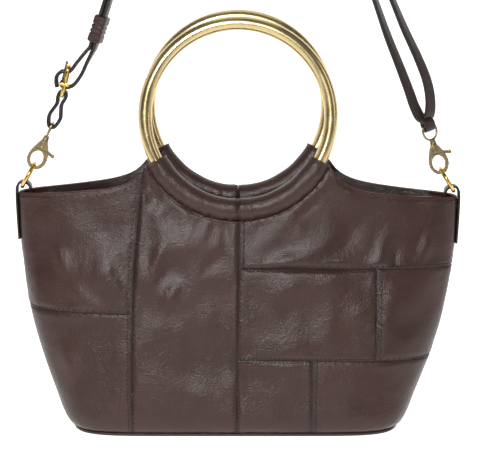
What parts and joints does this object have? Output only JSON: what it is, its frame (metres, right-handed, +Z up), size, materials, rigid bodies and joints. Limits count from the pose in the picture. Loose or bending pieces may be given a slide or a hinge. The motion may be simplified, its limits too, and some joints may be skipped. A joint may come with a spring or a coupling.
{
  "type": "crossbody bag",
  "caption": "Patchwork leather crossbody bag with round metal ring handles, a doubled leather shoulder strap and swivel clasps.",
  "frame": {"origin": "under the highest point of the strap, where it hangs over what holds the bag", "axes": "+Z up, -Y towards the patchwork front, +X to the right of someone who looks at the front"},
  "size_m": [0.3402, 0.1055, 0.487],
  "materials": {
    "leather": "smooth dark brown leather with a fine grain",
    "dark_leather": "darker brown leather, cut edges painted",
    "ring_gold": "pale gold, lightly brushed along the tube",
    "bright_gold": "bright polished gold",
    "antique_brass": "antique brass with darkened hollows"
  },
  "bodies": {
    "bag": {"patch_left_top": "leather", "patch_left_low": "leather", "patch_centre": "leather", "patch_right_top": "leather", "patch_right_mid": "leather", "patch_right_side": "leather", "patch_low_inner": "leather", "patch_low_outer": "leather", "back_panel": "leather", "base_panel": "dark_leather", "rim_facing_front": "dark_leather", "rim_facing_rear": "dark_leather", "ring_front": "ring_gold", "ring_rear": "ring_gold", "sleeve_front_left": "leather", "sleeve_front_right": "leather", "sleeve_rear_left": "leather", "sleeve_rear_right": "leather", "tab_left": "dark_leather", "tab_right": "dark_leather", "o_ring_left": "bright_gold", "o_ring_right": "bright_gold", "clasp_left": "antique_brass", "clasp_right": "antique_brass", "clasp_eye_left": "antique_brass", "clasp_eye_right": "antique_brass", "strap": "dark_leather", "strap_keeper": "leather", "strap_short_loop": "dark_leather", "buckle_prong": "antique_brass", "buckle_frame": "bright_gold"},
    "gate_left": {"clasp_gate_left": "antique_brass"},
    "gate_right": {"clasp_gate_right": "antique_brass"}
  },
  "joints": [
    {"name": "gate_left_hinge", "type": "hinge", "parent": "bag", "child": "gate_left", "pos_m": [-0.14963, 0, -0.26631], "axis": [0, -1, 0], "range_deg": [0, 28], "stiffness_Nm_per_rad": 0.03, "springref_deg": -17.19},
    {"name": "gate_right_hinge", "type": "hinge", "parent": "bag", "child": "gate_right", "pos_m": [0.15072, 0, -0.26954], "axis": [0, -1, 0], "range_deg": [0, 28], "stiffness_Nm_per_rad": 0.03, "springref_deg": -17.19}
  ]
}
